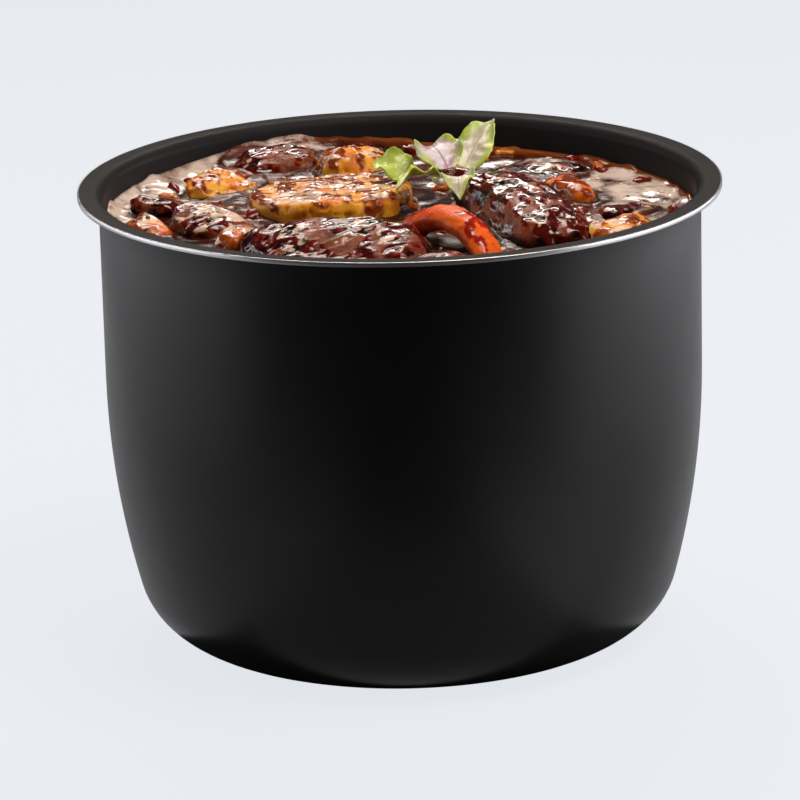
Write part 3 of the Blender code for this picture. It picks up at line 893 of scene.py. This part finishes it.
def build_bits(
    name,
    material,
    slot,
    count,
    sizes,
    flatness,
    seed,
    film=0.0,
    rise=0.0,
    on_food=False,
    subdivisions=3,
    painted_sheen=0.0,
):
    """Small ragged bits scattered over the open gravy, or over the food, as one piece.

    sizes and flatness are ranges to draw from, and rise is how far a bit stands up, as a share of its height.
    film is how much sauce the bits carry. The last argument is how much pale painted sheen lies on them.
    """
    draw = np.random.default_rng(seed)
    ball, ball_faces = ball_of(subdivisions)
    points, faces, films = [], [], []
    while len(points) < count:
        reach, bearing = BITS_REACH * math.sqrt(draw.uniform()), draw.uniform(0, 2 * math.pi)
        x, y = reach * math.cos(bearing), reach * math.sin(bearing)
        size = draw.uniform(*sizes)
        if open_gravy(x, y) == on_food:
            continue
        height, up = surface_under(x, y)
        if height < GRAVY_LEVEL - LOWEST_DEPTH or up.z < STEEPEST_UP:
            continue
        flat = draw.uniform(*flatness)
        shape = ball * [1, draw.uniform(0.5, 1.0), flat]
        shape = shape * (1 + RAGGEDNESS * layered(ball + 10 * len(points), 1.0, 3, seed)[:, None])
        turn = Matrix.Rotation(draw.uniform(0, 6.28), 3, "Z")
        facing = up.to_track_quat("Z", "Y").to_matrix() @ turn
        shape = shape * size @ np.array(facing).T + [x, y, height + size * flat * rise]
        faces.append(ball_faces + len(points) * len(ball))
        points.append(shape)
        films.append(np.clip(film + 0.4 * swell(shape, size, seed), 0, 1))
    points = np.concatenate(points)
    marks = {"film": np.concatenate(films)}
    for key, value in (("painted_shade", 0.0), ("thin", 0.9), ("painted_sheen", painted_sheen)):
        marks[key] = np.full(len(points), value)
    mesh = mesh_from(name, points, np.concatenate(faces), [material], marks)
    add_piece(name, mesh, "stew")


def build_small_things():
    """Shreds of beef and soft onion in the gravy, beads on it painted pale as glints, and chopped herbs over
    everything.
    """
    soft, firm, leafy = (0.35, 0.6), (0.5, 0.8), (0.12, 0.2)
    fleck = {"rise": 0.5, "subdivisions": 1}
    build_bits("beef_shreds", BEEF, "beef", 30, (0.0022, 0.0055), soft, 5, film=0.6, rise=-0.1)
    build_bits("onion_bits", POTATO, "potato", 14, (0.0018, 0.0040), soft, 6, film=0.5)
    build_bits("carrot_bits", CARROT, "carrot", 8, (0.0018, 0.0036), firm, 8, film=0.3, rise=0.1)
    # These beads are painted pale as glints.
    build_bits("painted_sheen_beads", GRAVY, "gravy", 110, (0.0005, 0.0017), soft, 7, rise=0.3, subdivisions=2, painted_sheen=1.0)
    build_bits("herb_flecks", HERB, "leaf", 90, (0.0005, 0.0013), leafy, 9, on_food=True, **fleck)
    build_bits("herb_flecks_in_gravy", HERB, "leaf", 40, (0.0005, 0.0012), leafy, 10, **fleck)


# ---------------------------------------------------------------- the basil

# Leaves: node, base and tip from the sprig's centre, width, arch of the rib, cup across it, turn about it in
# degrees, and how purple it is.
LEAVES = (
    ("leaf_tall", (0.0060, 0.0160, -0.0010), (0.0185, 0.0420, 0.0120), 0.0145, 0.003, 0.0030, 20, 0.5),
    ("leaf_pale", (0.0020, 0.0060, 0.0015), (-0.0070, 0.0240, 0.0040), 0.0180, 0.005, 0.0035, -5, 1.0),
    ("leaf_green", (-0.0120, 0.0120, -0.0020), (-0.0270, 0.0210, 0.0000), 0.0140, 0.003, 0.0025, -25, 0.0),
    ("leaf_low", (-0.0020, -0.0020, 0.0010), (-0.0180, -0.0090, -0.0020), 0.0150, 0.003, 0.0025, 15, 0.2),
    ("leaf_hanging", (0.0060, -0.0080, 0.0020), (0.0050, -0.0260, -0.0020), 0.0120, 0.004, 0.0020, 10, 0.5),
)
LEAF_SHEET = 0.0005
LEAF_STEPS = (60, 30)  # along the rib, and across
LEAF_RUFFLE = 0.0026
LEAF_CRUMPLE = 0.0006

# How far a leaf swells and how finely it runs out to its tip, for most leaves and for the tall one.
OUTLINE = (2.9, 1.1)
TALL_OUTLINE = (3.2, 1.6)


def leaf_axes(rib, turn):
    """The directions across a leaf and up from it, for the line of its rib and its turn about that line."""
    level_side = Vector((-rib.y, rib.x, 0)).normalized()
    up = rib.normalized().cross(level_side)
    up = up if up.z > 0 else -up
    lean = math.radians(turn)
    side = level_side * math.cos(lean) + up * math.sin(lean)
    lift = up * math.cos(lean) - level_side * math.sin(lean)
    return side, lift


def leaf_half_width(run, width, swelling, point):
    """Half of a leaf's width at this share of its length, with small teeth along its edge."""
    teeth = 1 + 0.02 * math.sin(run * 45)
    return width / 2 * (0.04 + swelling * run**0.55 * (1 - run) ** point) * teeth


def leaf_vein(run, out):
    """How far a point of a leaf lies on its rib, or on one of the veins that branch forwards from it."""
    branch = abs(math.sin((run - 0.35 * abs(out)) * 19))
    return max(0.0, 1 - abs(out) / 0.07, (1 - branch / 0.22) * 0.7)


def build_leaf(name, base, tip, width, rib_arch, cup, turn, purple):
    """A pointed leaf with a ruffled edge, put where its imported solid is."""
    start, end = Vector(base), Vector(tip)
    rib = end - start
    side, lift = leaf_axes(rib, turn)
    swelling, point = TALL_OUTLINE if name == "leaf_tall" else OUTLINE
    phase = len(name) * 1.3
    along, across = LEAF_STEPS
    points, edge, vein = [], [], []
    for i in range(along + 1):
        run = i / along
        half = leaf_half_width(run, width, swelling, point)
        for k in range(-across // 2, across // 2 + 1):
            out = 2 * k / across
            rise = (rib_arch + cup * out * out) * math.sin(math.pi * run)
            wave = math.sin(run * 12 + phase + (2 if out > 0 else 0))
            ruffle = LEAF_RUFFLE * abs(out) ** 2 * (1 - 0.7 * run) * wave
            height = rise + ruffle * math.sin(math.pi * run)
            points.append(tuple(start + rib * run + side * half * out + lift * height))
            edge.append(abs(out))
            vein.append(leaf_vein(run, out))
    points = np.array(points)
    points += np.outer(layered(points, 0.0060, 2, len(name)) * LEAF_CRUMPLE, tuple(lift))
    low, high = (np.array(c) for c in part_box(name))
    points += (low + high) / 2 - (points.min(0) + points.max(0)) / 2
    row = across + 1
    faces = [
        (i * row + k, (i + 1) * row + k, (i + 1) * row + k + 1, i * row + k + 1)
        for i in range(along)
        for k in range(across)
    ]
    marks = {"edge": edge, "vein": vein, "purple": np.full(len(points), purple)}
    mesh = mesh_from(name + "_fresh", points, faces, [LEAF], marks)
    leaf = add_piece(name + "_fresh", mesh, "sprig", [name])
    blade = leaf.modifiers.new("blade", "SOLIDIFY")
    blade.thickness = LEAF_SHEET
    blade.offset = 0


def build_stem():
    """The sprig's stem, with the leaves' finish, a little purple."""
    skin = even_skin("stem", 0.00035, 4)
    points, normals = points_of(skin), points_of(skin, "normal")
    points = points + normals * (layered(points, 0.002, 2, 4) * 0.00012)[:, None]
    count = len(points)
    marks = {"edge": np.full(count, 0.6), "vein": np.zeros(count), "purple": np.full(count, 0.6)}
    mesh = mesh_from("stem_fresh", points, faces_of_quads(skin), [LEAF], marks)
    add_piece("stem_fresh", mesh, "sprig", ["stem"])


# ---------------------------------------------------------------- the studio

FLOOR_HALF = 9
FLOOR_DROP = 0.0002  # keeps the floor clear of the pot's foot
STRIP_HEIGHT = 0.003


def only_when_seen(tree):
    """1 where a thing is looked at straight, and 0 where it only lights or mirrors in something else."""
    return node(tree, "LightPath").outputs["Is Camera Ray"]


def build_floor():
    """A wide, plain, pale floor that glows where it is seen, so that the shadow on it stays faint.

    It lights the pot from below no more than a dark one would.
    """
    lighting, seen_base, glow = (0.045, 0.045, 0.048), (0.05, 0.0515, 0.053), (0.752, 0.777, 0.820)
    material, tree, shader = new_material("studio_floor")
    seen = only_when_seen(tree)
    tree.links.new(blend(tree, seen, lighting, seen_base), shader.inputs["Base Color"])
    settings(shader, Roughness=0.9, Specular_IOR_Level=0.1, Emission_Color=(*glow, 1))
    tree.links.new(seen, shader.inputs["Emission Strength"])
    corners = [(x * FLOOR_HALF, y * FLOOR_HALF, 0) for x, y in ((-1, -1), (1, -1), (1, 1), (-1, 1))]
    mesh = mesh_from("floor", corners, [(0, 1, 2, 3)], [material])
    floor = bpy.data.objects.new("floor", mesh)
    floor.location.z = -FLOOR_DROP
    bpy.context.scene.collection.objects.link(floor)


def add_light(name, centre, aim, width, height, radiance, colour):
    """A soft box that faces the aim and is this bright wherever it is seen from."""
    lamp = bpy.data.lights.new(name, "AREA")
    lamp.shape = "RECTANGLE"
    lamp.size, lamp.size_y = width, height
    lamp.energy = radiance * width * height * math.pi
    lamp.color = colour
    light = bpy.data.objects.new(name, lamp)
    light.location = centre
    light.rotation_euler = (Vector(aim) - Vector(centre)).to_track_quat("-Z", "Y").to_euler()
    light.visible_camera = False
    bpy.context.scene.collection.objects.link(light)


def add_high_light(name, bearing, height_angle, distance, width, height, radiance, colour):
    """A soft box that faces the pot's mouth. Bearings are from straight behind the pot, to the right."""
    turn, rise = math.radians(bearing), math.radians(height_angle)
    outward = Vector((math.sin(turn) * math.cos(rise), math.cos(turn) * math.cos(rise), math.sin(rise)))
    mouth = Vector((0, 0, RIM))
    add_light(name, mouth + outward * distance, mouth, width, height, radiance, colour)


def build_lights():
    """A key at the front right, a soft box above, windows behind for the shine, and lit walls at the sides."""
    warm, cool = (1.0, 0.87, 0.76), (0.97, 0.96, 1.0)
    add_high_light("soft_key", 125, 64, 1.5, 0.7, 0.7, 12.0, warm)
    add_high_light("soft_top", -12, 62, 1.5, 0.7, 0.40, 9.0, warm)
    add_high_light("window", -4, 36, 1.5, 0.9, 0.16, 17.0, (1.0, 0.90, 0.82))
    add_high_light("window_low", 0, 23, 1.6, 0.8, 0.10, 0.25, warm)
    for name, side, radiance in (("wall_left", -1, 3.0), ("wall_right", 1, 4.5)):
        add_light(name, (side * 0.62, 0.16, 0.19), (0, 0.16, 0.19), 1.08, 0.36, radiance, cool)
    # Strips that lie on the floor and shine straight up.
    strips = (
        ("strip_left", -0.27, 0.12, 0.36, 0.9, 0.55),
        ("strip_right", 0.27, 0.12, 0.36, 0.9, 0.6),
        ("strip_front", 0.02, -0.16, 0.60, 0.14, 0.35),
    )
    for name, x, y, width, depth, radiance in strips:
        add_light(name, (x, y, STRIP_HEIGHT), (x, y, 1), width, depth, radiance, cool)


def build_air():
    """The studio's air: dim as a light, and pale where it is seen behind the floor's far edge."""
    world = bpy.data.worlds.new("studio")
    bpy.context.scene.world = world
    world.use_nodes = True
    tree = world.node_tree
    air = tree.nodes["Background"]
    air.inputs["Color"].default_value = (0.90, 0.93, 1.0, 1)
    air.inputs["Strength"].default_value = 0.04
    seen = tree.nodes.new("ShaderNodeBackground")
    seen.inputs["Color"].default_value = (0.86, 0.88, 0.92, 1)
    seen.inputs["Strength"].default_value = 0.9
    mix = tree.nodes.new("ShaderNodeMixShader")
    tree.links.new(only_when_seen(tree), mix.inputs[0])
    tree.links.new(air.outputs[0], mix.inputs[1])
    tree.links.new(seen.outputs[0], mix.inputs[2])
    tree.links.new(mix.outputs[0], tree.nodes["World Output"].inputs["Surface"])


CAMERA_HEIGHT_ANGLE = math.radians(16.4)
CAMERA_LEAN = math.radians(1.375)  # it is held a little askew
CAMERA_DISTANCE = 1.742


def build_camera():
    """The camera, in front of the pot and above it."""
    data = bpy.data.cameras.new("camera")
    data.sensor_width = 36
    data.lens = 207.4
    data.shift_x = -0.0060
    data.shift_y = 0.0030
    data.clip_end = 60
    camera = bpy.data.objects.new("camera", data)
    target = Vector((0, 0, RIM / 2))
    back = Vector((0, -math.cos(CAMERA_HEIGHT_ANGLE), math.sin(CAMERA_HEIGHT_ANGLE)))
    camera.location = target + back * CAMERA_DISTANCE
    facing = (-back).to_track_quat("-Z", "Y").to_matrix()
    camera.rotation_euler = (facing @ Matrix.Rotation(-CAMERA_LEAN, 3, "Z")).to_euler()
    bpy.context.scene.collection.objects.link(camera)
    bpy.context.scene.camera = camera


build_camera()
build_pot()
for row in FOOD:
    build_food(*row)
build_pepper()
gravy_top = build_gravy()
build_small_things()
for row in LEAVES:
    build_leaf(*row)
build_stem()
build_floor()
build_lights()
build_air()
bpy.context.scene.view_settings.view_transform = "Standard"
